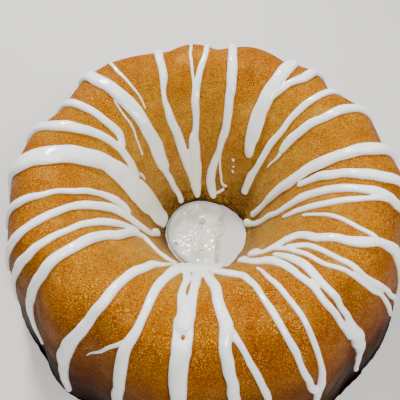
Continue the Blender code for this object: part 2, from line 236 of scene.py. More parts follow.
def ring_tree(crust):
    """Turns a profile round a circle, presses the flutes, bulge and hollow in, roughens the crust."""
    tree = bpy.data.node_groups.new("turned_ring", "GeometryNodeTree")
    face = tree.interface
    face.new_socket("Profile", in_out="INPUT", socket_type="NodeSocketGeometry")
    face.new_socket("Circle", in_out="INPUT", socket_type="NodeSocketObject")
    for name in ("Swell", "Grain", "Crumble"):
        face.new_socket(name, in_out="INPUT", socket_type="NodeSocketFloat")
    face.new_socket("Ring", in_out="OUTPUT", socket_type="NodeSocketGeometry")
    given = tree.nodes.new("NodeGroupInput").outputs

    circle = node(tree, "GeometryNodeObjectInfo", {"Object": given["Circle"]}).outputs["Geometry"]
    path = node(tree, "GeometryNodeMeshToCurve", {"Mesh": circle})
    section = node(tree, "GeometryNodeMeshToCurve", {"Mesh": given["Profile"]})
    turned = node(tree, "GeometryNodeCurveToMesh",
                  {"Curve": path.outputs[0], "Profile Curve": section.outputs[0]})

    place = node(tree, "GeometryNodeInputPosition").outputs[0]
    parts = node(tree, "ShaderNodeSeparateXYZ", {0: place}).outputs
    outwards, upwards = 0.0, 0.0
    for name in ("push", "bulge", "hollow"):
        amount = own_value(tree, name)
        outwards = calc(tree, "MULTIPLY_ADD", amount, own_value(tree, name + "_out"), outwards)
        upwards = calc(tree, "MULTIPLY_ADD", amount, own_value(tree, name + "_up"), upwards)
    spoke = node(tree, "ShaderNodeCombineXYZ", {"X": parts[0], "Y": parts[1]}).outputs[0]
    outward = vector_calc(tree, "SCALE", vector_calc(tree, "NORMALIZE", spoke), scale=outwards)
    upward = node(tree, "ShaderNodeCombineXYZ", {"Z": upwards}).outputs[0]
    pressed = node(tree, "GeometryNodeSetPosition",
                   {"Geometry": turned.outputs[0], "Offset": vector_calc(tree, "ADD", outward, upward)})

    normal = node(tree, "GeometryNodeInputNormal").outputs[0]
    swell = calc(tree, "SUBTRACT", noise(tree, place, SWELL_SCALE), 0.6)
    swell = calc(tree, "MULTIPLY", swell, given["Swell"])
    grain = calc(tree, "SUBTRACT", noise(tree, place, GRAIN_SCALE, 3.0), 0.5)
    grain = calc(tree, "MULTIPLY", grain, given["Grain"])
    crumble = calc(tree, "SUBTRACT", noise(tree, place, CRUMB_SCALE, 4.0, 0.6), 0.70)
    crumble = calc(tree, "MULTIPLY", crumble, given["Crumble"])
    crumble = calc(tree, "MULTIPLY", crumble, own_value(tree, "foot"))
    relief = calc(tree, "ADD", calc(tree, "ADD", swell, grain), crumble)
    relief = calc(tree, "MULTIPLY", relief, own_value(tree, "baked"))
    offset = vector_calc(tree, "SCALE", normal, scale=relief)
    rough = node(tree, "GeometryNodeSetPosition", {"Geometry": pressed.outputs[0], "Offset": offset})
    # nothing sinks below the table
    above = calc(tree, "MAXIMUM", parts[2], 0.0)
    kept = node(tree, "ShaderNodeCombineXYZ", {"X": parts[0], "Y": parts[1], "Z": above}).outputs[0]
    seated = node(tree, "GeometryNodeSetPosition", {"Geometry": rough.outputs[0], "Position": kept})
    smooth = node(tree, "GeometryNodeSetShadeSmooth", {"Geometry": seated.outputs[0]})
    real = node(tree, "GeometryNodeRealizeInstances", {"Geometry": smooth.outputs[0]})
    dressed = node(tree, "GeometryNodeSetMaterial", {"Geometry": real.outputs[0], "Material": crust})
    out = tree.nodes.new("NodeGroupOutput")
    tree.links.new(dressed.outputs[0], out.inputs[0])
    return tree


def apply_tree(obj, tree, **inputs):
    """The plain mesh that a geometry tree makes of an object, with inputs set by identifier."""
    modifier = obj.modifiers.new("Nodes", "NODES")
    modifier.node_group = tree
    for item in tree.interface.items_tree:
        name = item.name.replace(" ", "_").lower()
        if item.in_out == "INPUT" and name in inputs:
            modifier[item.identifier] = inputs[name]
    seen = obj.evaluated_get(bpy.context.evaluated_depsgraph_get())
    mesh = bpy.data.meshes.new_from_object(seen)
    obj.modifiers.remove(modifier)
    return mesh


def new_piece(name, mesh):
    """A new object of this name at the origin, which shows this mesh."""
    made = bpy.data.objects.new(name, mesh)
    mesh.name = name
    bpy.context.scene.collection.objects.link(made)
    return made


def shader_base(name):
    """A material with its shader, and the place on the piece that patterns read."""
    material = bpy.data.materials.new(name)
    material.use_nodes = True
    tree = material.node_tree
    shader = tree.nodes["Principled BSDF"]
    place = tree.nodes.new("ShaderNodeTexCoord").outputs["Object"]
    return material, tree, shader, place


def ramp(tree, value, stops):
    """A run of colours along a value: stops are pairs of position and colour."""
    made = node(tree, "ShaderNodeValToRGB", {"Fac": value})
    band = made.color_ramp
    while len(band.elements) < len(stops):
        band.elements.new(0.5)
    for element, (position, colour) in zip(band.elements, stops):
        element.position = position
        element.color = (*colour, 1.0)
    return made.outputs[0]


def blend(tree, kind, share, first, second):
    """Two colours mixed by a share."""
    made = node(tree, "ShaderNodeMix", {0: share, 6: first, 7: second}, data_type="RGBA", blend_type=kind)
    return made.outputs[2]


def stretch(tree, value, low, high, to_low=0.0, to_high=1.0):
    """A value from low to high carried over to another range, and held at its ends."""
    values = {"Value": value, "From Min": low, "From Max": high, "To Min": to_low, "To Max": to_high}
    return node(tree, "ShaderNodeMapRange", values).outputs[0]


def kept_value(tree, name):
    """A number that the points carry, read in a material."""
    return node(tree, "ShaderNodeAttribute", attribute_name=name).outputs["Fac"]


def crust_material():
    """Golden crust: a run of colours from the hole to the outer foot, mottled finer and finer."""
    material, tree, shader, place = shader_base("golden_crust")
    along = kept_value(tree, "along")
    # painted shade in the flutes' valleys, stronger where a valley is deeper
    valley = calc(tree, "MULTIPLY", kept_value(tree, "valley_shade"), kept_value(tree, "fluted"))
    drift = calc(tree, "MULTIPLY", calc(tree, "SUBTRACT", noise(tree, place, 45.0, 4.0), 0.5), 0.10)
    # the run darkens down the outer wall to near black at the foot: partly browning, partly painted shade on
    # the low wall
    tone = ramp(tree, calc(tree, "ADD", along, drift), (
        (0.00, (0.100, 0.042, 0.008)),
        (0.05, (0.200, 0.100, 0.020)),
        (0.14, (0.350, 0.192, 0.040)),
        (0.32, (0.415, 0.200, 0.016)),
        (0.45, (0.365, 0.138, 0.001)),
        (0.60, (0.305, 0.100, 0.001)),
        (0.69, (0.270, 0.088, 0.003)),
        (0.78, (0.160, 0.048, 0.003)),
        (0.88, (0.048, 0.014, 0.001)),
        (1.00, (0.010, 0.003, 0.001)),
    ))
    # broad patches where the metal was hotter, and painted shade in the flutes' valleys
    hotter = stretch(tree, noise(tree, place, 17.0, 3.0), 0.38, 0.62, 0.0, 0.85)
    tone = blend(tree, "MULTIPLY", hotter, tone, (0.90, 0.74, 0.62, 1.0))
    tone = blend(tree, "MULTIPLY", calc(tree, "MULTIPLY", valley, 0.45), tone, (0.60, 0.45, 0.35, 1.0))
    # blotches, torn crumb at the feet of the wall, and pores
    blotches = stretch(tree, noise(tree, place, 120.0, 5.0, 0.7), 0.42, 0.64, 0.0, 0.65)
    tone = blend(tree, "MULTIPLY", blotches, tone, (0.76, 0.57, 0.42, 1.0))
    crumbs = stretch(tree, noise(tree, place, 270.0, 4.0, 0.7), 0.44, 0.56)
    crumbs = calc(tree, "MULTIPLY", crumbs, kept_value(tree, "foot"))
    tone = blend(tree, "MULTIPLY", crumbs, tone, (0.11, 0.07, 0.04, 1.0))
    pores = stretch(tree, noise(tree, place, 1050.0, 3.0, 0.7), 0.46, 0.62, 0.0, 0.85)
    tone = blend(tree, "MULTIPLY", pores, tone, (0.50, 0.36, 0.26, 1.0))
    # painted glints: pale specks for the sparkle of sugar and grease, fewer on the dark lower wall; and
    # painted sheen
    glint_specks = stretch(tree, noise(tree, place, 1800.0, 1.0), 0.57, 0.68)
    patchy = stretch(tree, noise(tree, place, 75.0, 3.0), 0.35, 0.70, 0.35, 1.0)
    painted_glints = calc(tree, "MULTIPLY", calc(tree, "MULTIPLY", glint_specks, patchy),
                 stretch(tree, along, 0.58, 0.86, 0.75, 0.04))
    tone = blend(tree, "MIX", painted_glints, tone, (0.85, 0.46, 0.05, 1.0))
    # painted sheen: pale patches for the soft greasy reflections on the funnel's slope
    painted_sheen = stretch(tree, noise(tree, place, 55.0, 3.0, 0.6), 0.58, 0.72)
    painted_sheen = calc(tree, "MULTIPLY", painted_sheen, stretch(tree, along, 0.50, 0.68, 0.40, 0.0))
    tone = blend(tree, "MIX", painted_sheen, tone, (0.52, 0.27, 0.03, 1.0))
    tree.links.new(tone, shader.inputs["Base Color"])
    gloss = stretch(tree, noise(tree, place, 60.0, 3.0), 0.30, 0.70, 0.34, 0.60)
    tree.links.new(gloss, shader.inputs["Roughness"])
    relief = noise(tree, place, 950.0, 4.0, 0.7)
    bump = node(tree, "ShaderNodeBump", {"Strength": 0.7, "Distance": 0.0008, "Height": relief})
    tree.links.new(bump.outputs[0], shader.inputs["Normal"])
    tree.links.new(stretch(tree, along, 0.55, 0.80, 0.05, 0.02), shader.inputs["Specular IOR Level"])
    shader.inputs["Specular Tint"].default_value = (1.0, 0.62, 0.25, 1.0)
    return material


def ring_profile_mesh():
    """The closed profile as edges, whose points carry how the flutes push them and how they bake."""
    distance = np.linspace(0.0, foot_distance, RING_ROWS)
    radius, height = profile_at(distance)
    outward, upward = profile_normal(distance)
    upward = np.where(height > 0.0, upward, 0.0)
    fade, bulged, hollowed = flute_fade(distance), bulge_fade(distance), hollow_fade(distance)
    inward = np.linspace(CAKE_RADIUS, HOLE_RADIUS, UNDERSIDE_ROWS + 2)[1:-1]
    spread = (inward - HOLE_RADIUS) / (CAKE_RADIUS - HOLE_RADIUS)
    count = RING_ROWS + UNDERSIDE_ROWS
    mesh = bpy.data.meshes.new("ring_profile")
    points = np.zeros((count, 3))
    points[:, 0] = np.concatenate([radius, inward]) - CROWN_RADIUS
    # the sweep lays the profile's Y downwards
    points[:, 1] = -np.concatenate([height, np.zeros(UNDERSIDE_ROWS)])
    mesh.from_pydata(points.tolist(), [(i, (i + 1) % count) for i in range(count)], [])
    near_foot = np.exp(-distance / FOOT_REACH)
    near_foot = near_foot + OUTER_FOOT_SHARE * np.exp(-(foot_distance - distance) / FOOT_REACH)
    below = np.zeros(UNDERSIDE_ROWS)
    carried = {
        "push_out": np.concatenate([outward * fade, spread]),
        "push_up": np.concatenate([upward * fade, below]),
        "bulge_out": np.concatenate([outward * bulged, spread - 1.0]),
        "bulge_up": np.concatenate([upward * bulged, below]),
        "hollow_out": np.concatenate([outward * hollowed, HOLLOW_FOOT * (spread - 1.0)]),
        "hollow_up": np.concatenate([upward * hollowed, below]),
        "fluted": np.concatenate([fade, below]),
        "foot": np.concatenate([near_foot, below]),
        "baked": np.concatenate([np.ones(RING_ROWS), below]),
        "along": np.concatenate([distance / foot_distance, np.ones(UNDERSIDE_ROWS)]),
    }
    for name, values in carried.items():
        mesh.attributes.new(name, "FLOAT", "POINT").data.foreach_set("value", values.astype(np.float32))
    return mesh


def ring_circle_mesh():
    """The circle that the profile follows, whose points carry the flutes, bulge and hollow, and the painted
    shade of the valleys.
    """
    azimuth = 90.0 - np.arange(RING_STEPS) * 360.0 / RING_STEPS
    turn = np.radians(azimuth)
    points = CROWN_RADIUS * np.stack([np.sin(turn), np.cos(turn), 0 * turn], axis=1)
    mesh = bpy.data.meshes.new("ring_circle")
    mesh.from_pydata(points.tolist(), [(i, (i + 1) % RING_STEPS) for i in range(RING_STEPS)], [])
    push = flute_push(azimuth)
    carried = {"push": push, "bulge": hole_bulge(azimuth), "hollow": wall_hollow(azimuth),
               "valley_shade": np.clip(-push / FLUTE_SHADE_DEPTH, 0.0, 1.0)}
    for name, values in carried.items():
        mesh.attributes.new(name, "FLOAT", "POINT").data.foreach_set("value", values.astype(np.float32))
    return mesh


profile_object = new_piece("ring_profile", ring_profile_mesh())
circle_object = new_piece("ring_circle", ring_circle_mesh())
ring_mesh = apply_tree(profile_object, ring_tree(crust_material()), circle=circle_object,
                       swell=SWELL_LIFT, grain=GRAIN_LIFT, crumble=CRUMB_LIFT)
bpy.data.objects.remove(profile_object)
bpy.data.objects.remove(circle_object)
cake_crust = new_piece("cake_crust", ring_mesh)
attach(cake_crust, "root")
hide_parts("cake")

# The poured icing on the far half: sugar and a little milk, let run off a spoon back and forth
# over the ring, so that stripes lie from the hole over the crown and down the outside. Each
# stands up in a rounded bead, and those that touch have run together.
ICING_STEP = 0.0008
ICING_HEIGHT_SHARE = 0.40
ICING_HEIGHT_MOST = 0.0028
ICING_SINK = 0.0009
ICING_RIPPLE = 0.12
# how a run wanders sideways in metres, and in its width and height as a share
WANDER = 0.00025
WIDTH_WANDER = 0.045
HEIGHT_WANDER = 0.05
# the bead's cross-section: how full its dome is, how far its edge stands, and half its foot
BEAD_POINTS = 17
BEAD_FULLNESS = 2.5
BEAD_EDGE = 0.10
BEAD_FOOT = 0.44
# for each place on a stripe: distance along the profile in mm, azimuth in degrees, width in mm
FAR_STRIPES = (
    ((3, -78, 12), (14, -78, 14.8), (28, -78, 15.8), (41, -78.5, 16.5), (52, -76.8, 14),
     (67, -76.9, 10.7), (81, -81.3, 10.7), (94, -85, 10.8), (107, -87.6, 11), (126, -86.9, 9),
     (152, -86.7, 6)),
    ((43, -68.7, 6), (53, -64.1, 5.2), (63, -61.9, 4.8), (77, -64.5, 5), (88, -68.8, 5.8),
     (98, -71.3, 6.7), (121, -73, 6), (142, -72.9, 4.5)),
    ((62, -61.1, 4.5), (69, -56.1, 4.5), (88, -57.2, 5.2), (105, -59.1, 6), (127, -58.9, 4)),
    ((3, -36.3, 4.4), (6, -36, 4.2), (18, -37.5, 4.2), (31, -40, 4.6), (35, -39.7, 8), (50, -39, 8.6),
     (64, -39.1, 8.2), (74, -39.7, 8.7), (86, -42, 8.9), (98, -43.5, 9.1), (117, -45, 7),
     (142, -44.8, 5)),
    ((8, -13, 5), (40, -17.9, 6), (63, -21.3, 5.5), (72, -21.2, 3.4), (77, -20, 3), (84, -18, 5),
     (90, -17, 5), (110, -15.6, 6), (142, -12.6, 4)),
    ((3, -12, 2.6), (6, -10.5, 4.6), (12, -10.7, 7), (20, -9.6, 8.2), (38, -7.6, 8), (46, -6.7, 6.4),
     (50, -4.7, 4.2), (57, -3.7, 3.8), (66, -2.7, 5), (75, -2.1, 4.8), (84, 0.1, 4.2), (95, 3.1, 4),
     (127, 4.6, 4)),
    ((3, 17, 3), (5, 15.5, 5), (9, 12, 6.6), (15, 8.8, 6.3), (23, 10, 5.5), (38, 15.5, 4.5),
     (52, 18.6, 5), (67, 18.4, 5.6), (82, 16.7, 6), (118, 12.9, 6), (152, 13.4, 4)),
    ((40, 44.5, 3.5), (43, 42, 6), (49, 40.2, 7), (54, 39.9, 8.6), (69, 37.8, 9.3), (79, 38.6, 9.2),
     (89, 38.4, 8.8), (99, 39, 8.4), (122, 38, 6)),
    ((77, 40, 4), (90, 44, 4.5), (98, 47.4, 6), (115, 48.8, 5), (137, 48.4, 4)),
    ((16, 54.5, 6.3), (20, 54.3, 5.6), (30, 54.3, 5.2), (47, 55.5, 4), (75, 56.5, 3.9), (96, 58.8, 4.3),
     (127, 61.3, 4)),
    ((56, 65.8, 3), (62, 65.2, 5.3), (74, 65.9, 5.1), (86, 68.6, 5.1), (97, 69.8, 5.8), (120, 71.7, 5.5),
     (146, 71.4, 4)),
    ((12, 82.5, 4.6), (18, 85, 4.2), (28, 87, 4.4), (36, 87, 5.4), (42, 87.2, 6.4), (50, 88.3, 6.4),
     (62, 88.8, 6.3), (80, 89.9, 6.4), (100, 89.7, 7.5), (126, 88.1, 6), (157, 88.1, 4.5)),
    ((58, 95.3, 3), (67, 96.1, 4.2), (79, 99, 5.1), (88, 100.4, 5.5), (102, 101.7, 6), (131, 99.4, 4.5)),
    ((3, 83, 6), (5, 86, 6), (8, 91.5, 4.6), (14, 98, 4), (23, 103.5, 4.2), (38, 106.5, 4.4),
     (51, 106.5, 4.6), (60, 106, 4.8), (73, 105.9, 4.8), (95, 107.9, 4.2), (113, 108.4, 5.5),
     (142, 106.4, 5)),
    ((48, 115.4, 2.2), (58, 115, 3.4), (68, 114.8, 4), (79, 114, 3.4), (97, 111.1, 3), (113, 107.9, 3.6)),
)


def soften(values, reach):
    """A running average that keeps both ends where they are."""
    window = np.hanning(2 * reach + 3)[1:-1]
    padded = np.pad(values, reach, mode="reflect", reflect_type="odd")
    return np.convolve(padded, window / window.sum(), mode="valid")


def unsteady(random, count, reach, amount):
    """A slow random wander along a run of icing."""
    wander = soften(random.normal(size=count + 2 * reach), reach)[reach:-reach]
    return amount * wander / max(wander.std(), 1e-6)


def pour_line(stripe, random):
    """Even places along one run of icing: middle, side direction, width and height."""
    known = np.array(stripe, dtype=float) * (0.001, 1.0, 0.001)
    radius = profile_at(known[:, 0])[0]
    across = np.radians(np.diff(known[:, 1])) * (radius[1:] + radius[:-1]) / 2
    length = np.concatenate([[0.0], np.cumsum(np.hypot(np.diff(known[:, 0]), across))])
    count = max(int(length[-1] / ICING_STEP), 10)
    run = np.linspace(0.0, length[-1], count)
    reach = min(3, count // 3)
    distance = soften(np.interp(run, length, known[:, 0]), reach)
    azimuth = soften(np.interp(run, length, known[:, 1]), reach)
    width = soften(np.interp(run, length, known[:, 2]), min(2, reach))
    slow = min(9, count // 3)
    azimuth = azimuth + np.degrees(unsteady(random, count, slow, WANDER) / profile_at(distance)[0])
    width = width * (1.0 + unsteady(random, count, slow, WIDTH_WANDER))
    left = np.minimum(run, length[-1] - run) / np.maximum(width / 2, 0.0004)
    rounding = np.sqrt(np.clip(1.0 - (1.0 - np.clip(left, 0.0, 1.0)) ** 2, 0.03, 1.0))
    height = np.minimum(ICING_HEIGHT_SHARE * width, ICING_HEIGHT_MOST)
    height = height * (1.0 + unsteady(random, count, slow, HEIGHT_WANDER)) * rounding ** 0.6
    middle = on_crust(distance, azimuth)
    up = on_crust(distance, azimuth, 0.001) - middle
    up = up / np.linalg.norm(up, axis=1, keepdims=True)
    side = np.cross(up, np.gradient(middle, axis=0))
    side = side / np.linalg.norm(side, axis=1, keepdims=True)
    return middle, side, width * rounding, np.minimum(height, 1.04 * ICING_HEIGHT_MOST)


def pour_lines_mesh(stripes, seed):
    """All the runs as open lines, whose points carry the middle, side, width and height."""
    random = np.random.default_rng(seed)
    lines = [pour_line(stripe, random) for stripe in stripes]
    mesh = bpy.data.meshes.new("pour_lines")
    edges, first = [], 0
    for line in lines:
        edges += [(i, i + 1) for i in range(first, first + len(line[0]) - 1)]
        first += len(line[0])
    middle = np.concatenate([line[0] for line in lines])
    mesh.from_pydata(middle.tolist(), edges, [])
    for number, name in enumerate(("middle", "side", "wide", "high")):
        values = np.concatenate([line[number] for line in lines]).astype(np.float32)
        kind, field = ("FLOAT_VECTOR", "vector") if values.ndim == 2 else ("FLOAT", "value")
        mesh.attributes.new(name, kind, "POINT").data.foreach_set(field, values.ravel())
    return mesh


def bead_mesh():
    """Cross-section of a run of icing: a full dome whose edges tuck in where it meets the crust."""
    across = 0.5 * np.sin(np.linspace(-math.pi / 2, math.pi / 2, BEAD_POINTS))
    level = BEAD_EDGE + (1.0 - BEAD_EDGE) * np.sqrt(1.0 - np.abs(2 * across) ** BEAD_FULLNESS)
    across = np.concatenate([[-BEAD_FOOT], across, [BEAD_FOOT]])
    level = np.concatenate([[-1.0], level, [-1.0]])
    mesh = bpy.data.meshes.new("bead")
    count = len(across)
    points = np.stack([across, level, 0 * level], axis=1) * 0.001
    mesh.from_pydata(points.tolist(), [(i, (i + 1) % count) for i in range(count)], [])
    for name, values in (("across", across), ("level", level)):
        mesh.attributes.new(name, "FLOAT", "POINT").data.foreach_set("value", values.astype(np.float32))
    return mesh


def own_vector(tree, name):
    """A direction or place that the points carry, read in a geometry tree."""
    return node(tree, "GeometryNodeInputNamedAttribute", {"Name": name}, data_type="FLOAT_VECTOR").outputs[0]


def pour_tree(icing):
    """Sweeps the bead along the lines and lays it on the crust."""
    tree = bpy.data.node_groups.new("poured_stripes", "GeometryNodeTree")
    face = tree.interface
    face.new_socket("Lines", in_out="INPUT", socket_type="NodeSocketGeometry")
    face.new_socket("Bead", in_out="INPUT", socket_type="NodeSocketObject")
    face.new_socket("Crust", in_out="INPUT", socket_type="NodeSocketObject")
    for name in ("Sink", "Ripple"):
        face.new_socket(name, in_out="INPUT", socket_type="NodeSocketFloat")
    face.new_socket("Icing", in_out="OUTPUT", socket_type="NodeSocketGeometry")
    given = tree.nodes.new("NodeGroupInput").outputs

    path = node(tree, "GeometryNodeMeshToCurve", {"Mesh": given["Lines"]})
    bead = node(tree, "GeometryNodeObjectInfo", {"Object": given["Bead"]}).outputs["Geometry"]
    section = node(tree, "GeometryNodeMeshToCurve", {"Mesh": bead})
    swept = node(tree, "GeometryNodeCurveToMesh",
                 {"Curve": path.outputs[0], "Profile Curve": section.outputs[0], "Fill Caps": True})
    reach = calc(tree, "MULTIPLY", own_value(tree, "across"), own_value(tree, "wide"))
    spread = vector_calc(tree, "SCALE", own_vector(tree, "side"), scale=reach)
    flat = vector_calc(tree, "ADD", own_vector(tree, "middle"), spread)

    crust = node(tree, "GeometryNodeObjectInfo", {"Object": given["Crust"]}).outputs["Geometry"]
    place = node(tree, "GeometryNodeInputPosition").outputs[0]
    normal = node(tree, "GeometryNodeInputNormal").outputs[0]
    found = [node(tree, "GeometryNodeSampleNearestSurface",
                  {"Mesh": crust, "Value": value, "Sample Position": flat},
                  data_type="FLOAT_VECTOR").outputs[0] for value in (place, normal)]
    ripple = calc(tree, "SUBTRACT", noise(tree, flat, 260.0, 2.0), 0.5)
    ripple = calc(tree, "MULTIPLY_ADD", ripple, given["Ripple"], 1.0)
    level = own_value(tree, "level")
    stands = calc(tree, "MULTIPLY", calc(tree, "MAXIMUM", level, 0.0), own_value(tree, "high"))
    lift = calc(tree, "MULTIPLY_ADD", calc(tree, "MINIMUM", level, 0.0), given["Sink"],
                calc(tree, "MULTIPLY", stands, ripple))
    laid = vector_calc(tree, "ADD", found[0], vector_calc(tree, "SCALE", found[1], scale=lift))
    moved = node(tree, "GeometryNodeSetPosition", {"Geometry": swept.outputs[0], "Position": laid})
    smooth = node(tree, "GeometryNodeSetShadeSmooth", {"Geometry": moved.outputs[0]})
    real = node(tree, "GeometryNodeRealizeInstances", {"Geometry": smooth.outputs[0]})
    dressed = node(tree, "GeometryNodeSetMaterial", {"Geometry": real.outputs[0], "Material": icing})
    out = tree.nodes.new("NodeGroupOutput")
    tree.links.new(dressed.outputs[0], out.inputs[0])
    return tree


def run_together(mesh):
    """One skin round all the runs, its joints filled in as thick liquid does."""
    blank = bpy.data.objects.new("icing_blank", mesh)
    bpy.context.scene.collection.objects.link(blank)
    skin = blank.modifiers.new("Skin", "REMESH")
    skin.mode = "VOXEL"
    skin.voxel_size = ICING_GRAIN
    skin.use_smooth_shade = True
    settle = blank.modifiers.new("Settle", "SMOOTH")
    settle.factor = 0.5
    settle.iterations = ICING_ROUNDS
    lighten = blank.modifiers.new("Lighten", "DECIMATE")
    lighten.ratio = ICING_KEPT
    joined = bpy.data.meshes.new_from_object(blank.evaluated_get(bpy.context.evaluated_depsgraph_get()))
    bpy.data.objects.remove(blank)
    joined.materials.clear()
    joined.materials.append(poured_icing)
    joined.shade_smooth()
    return joined


def mark_thickness(mesh):
    """Keep on each point how far it stands off the crust, in mm, for thin edges to look sheer and to take
    painted contact shade.
    """
    points = np.empty(3 * len(mesh.vertices), dtype=np.float32)
    mesh.vertices.foreach_get("co", points)
    seen = cake_crust.evaluated_get(bpy.context.evaluated_depsgraph_get())
    off = [(point - seen.closest_point_on_mesh(point)[1]).length * 1000.0
           for point in map(Vector, points.reshape(-1, 3).tolist())]
    mesh.attributes.new("thickness", "FLOAT", "POINT").data.foreach_set("value", off)


def icing_material():
    """White icing: browner where it is thin, partly sheer over the crust and partly painted contact shade;
    less white deep in the funnel, streaked.
    """
    material, tree, shader, place = shader_base("poured_icing")
    thickness = kept_value(tree, "thickness")
    drift = calc(tree, "MULTIPLY", calc(tree, "SUBTRACT", noise(tree, place, 120.0, 3.0), 0.5), 0.5)
    sheer_and_contact_shade = stretch(tree, calc(tree, "ADD", thickness, drift), 0.15, 1.1)
    # thin edges go browner: partly sheer icing over the crust, partly painted contact shade where the bead
    # meets it
    tone = ramp(tree, sheer_and_contact_shade, (
        (0.0, (0.66, 0.56, 0.46)),
        (0.35, (0.83, 0.80, 0.74)),
        (1.0, (0.90, 0.92, 0.89)),
    ))
    parts = node(tree, "ShaderNodeSeparateXYZ", {0: place}).outputs
    turn = calc(tree, "ARCTAN2", parts[0], parts[1])
    level_place = node(tree, "ShaderNodeCombineXYZ", {"X": parts[0], "Y": parts[1]}).outputs[0]
    radius = node(tree, "ShaderNodeVectorMath", {0: level_place}, operation="LENGTH").outputs[1]
    # less white and warmer low in the funnel
    deep_in_funnel = stretch(tree, radius, 0.030, 0.062, 0.85, 0.0)
    tone = blend(tree, "MULTIPLY", deep_in_funnel, tone, (0.86, 0.82, 0.70, 1.0))
    tree.links.new(tone, shader.inputs["Base Color"])
    runs = node(tree, "ShaderNodeCombineXYZ", {
        "X": calc(tree, "MULTIPLY", turn, 60.0), "Y": calc(tree, "MULTIPLY", radius, 60.0),
        "Z": calc(tree, "MULTIPLY", parts[2], 60.0)}).outputs[0]
    streaks = noise(tree, runs, 1.0, 2.0)
    bump = node(tree, "ShaderNodeBump", {"Strength": 0.5, "Distance": 0.0007, "Height": streaks})
    tree.links.new(bump.outputs[0], shader.inputs["Normal"])
    shader.inputs["Roughness"].default_value = 0.13
    shader.inputs["Subsurface Weight"].default_value = 0.10
    shader.inputs["Subsurface Radius"].default_value = (0.0016, 0.0013, 0.0010)
    shader.inputs["Subsurface Scale"].default_value = 1.0
    return material


# how the skin round the runs is made: its grain, rounds of smoothing, and share of faces kept
ICING_GRAIN = 0.00038
ICING_ROUNDS = 5
ICING_KEPT = 0.28
poured_icing = icing_material()
stripe_tree = pour_tree(poured_icing)
bead_object = new_piece("bead", bead_mesh())


def lay_stripes(stripes, seed):
    """The beads of all these stripes, laid on the crust."""
    lines = new_piece("pour_lines", pour_lines_mesh(stripes, seed))
    mesh = apply_tree(lines, stripe_tree, bead=bead_object, crust=cake_crust,
                      sink=ICING_SINK, ripple=ICING_RIPPLE)
    bpy.data.objects.remove(lines)
    return mesh


def stripe_piece(name, stripes, seed):
    """The runs of one half as one body of icing, riding on the cake."""
    mesh = run_together(lay_stripes(stripes, seed))
    mark_thickness(mesh)
    piece = new_piece(name, mesh)
    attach(piece, "root")
    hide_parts("cake")
    return piece


icing_far = stripe_piece("icing_far", FAR_STRIPES, 11)

